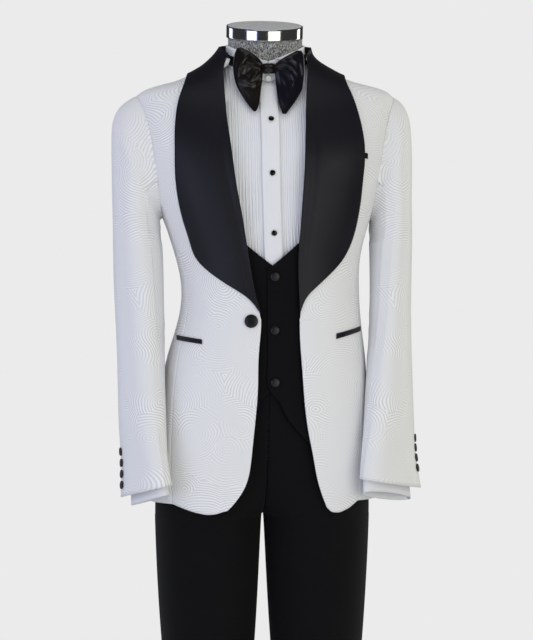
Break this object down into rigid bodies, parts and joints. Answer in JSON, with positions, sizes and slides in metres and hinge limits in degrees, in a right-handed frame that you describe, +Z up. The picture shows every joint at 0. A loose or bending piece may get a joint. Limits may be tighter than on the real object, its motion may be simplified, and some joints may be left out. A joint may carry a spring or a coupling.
{
  "type": "tuxedo on a dress form",
  "caption": "Dinner suit with a shawl-collar jacket, waistcoat, pleated shirt, bow tie and long trousers, standing on a limbless dress form with a round base.",
  "frame": {"origin": "centre of the base plate's underside, which stands on the floor", "axes": "+Z up; the front of the suit faces -Y; +X is the wearer's left"},
  "size_m": [0.5063, 0.41, 1.6167],
  "materials": {
    "jacket_cloth": "white figured cloth with tone-on-tone rings",
    "satin": "black satin",
    "black_cloth": "black fine wool",
    "shirt_cloth": "white cotton",
    "black_button": "black, satin covered or polished",
    "pearl": "white pearl button",
    "form_cloth": "grey melange jersey over padding",
    "chrome": "polished chrome",
    "stand_steel": "brushed steel"
  },
  "bodies": {
    "root": {"bow_knot": "satin", "bow_left": "satin", "bow_right": "satin", "bow_strap": "satin", "cuff_button_left_1": "black_button", "cuff_button_left_2": "black_button", "cuff_button_left_3": "black_button", "cuff_button_left_4": "black_button", "cuff_button_right_1": "black_button", "cuff_button_right_2": "black_button", "cuff_button_right_3": "black_button", "cuff_button_right_4": "black_button", "form_neck_band": "chrome", "form_neck_cap": "form_cloth", "form_torso": "form_cloth", "jacket_back_left": "jacket_cloth", "jacket_back_right": "jacket_cloth", "jacket_breast_welt": "satin", "jacket_button": "black_button", "jacket_front_left": "jacket_cloth", "jacket_front_right": "jacket_cloth", "jacket_pocket_left": "satin", "jacket_pocket_right": "satin", "jacket_shawl_left": "satin", "jacket_shawl_right": "satin", "jacket_side_left": "jacket_cloth", "jacket_side_right": "jacket_cloth", "jacket_sleeve_top_left": "jacket_cloth", "jacket_sleeve_top_right": "jacket_cloth", "jacket_sleeve_under_left": "jacket_cloth", "jacket_sleeve_under_right": "jacket_cloth", "shirt_back": "shirt_cloth", "shirt_collar": "shirt_cloth", "shirt_collar_button": "pearl", "shirt_collar_wing_left": "shirt_cloth", "shirt_collar_wing_right": "shirt_cloth", "shirt_cuff_left": "shirt_cloth", "shirt_cuff_right": "shirt_cloth", "shirt_front_left": "shirt_cloth", "shirt_front_right": "shirt_cloth", "shirt_placket": "shirt_cloth", "shirt_sleeve_left": "shirt_cloth", "shirt_sleeve_right": "shirt_cloth", "shirt_stud_1": "black_button", "shirt_stud_2": "black_button", "shirt_stud_3": "black_button", "stand_base": "stand_steel", "stand_pole_left": "stand_steel", "stand_pole_right": "stand_steel", "trousers_back_left": "black_cloth", "trousers_back_right": "black_cloth", "trousers_front_left": "black_cloth", "trousers_front_right": "black_cloth", "trousers_waistband": "black_cloth", "waistcoat_back": "satin", "waistcoat_button_1": "black_button", "waistcoat_button_2": "black_button", "waistcoat_button_3": "black_button", "waistcoat_front_left": "black_cloth", "waistcoat_front_right": "black_cloth"}
  },
  "joints": []
}
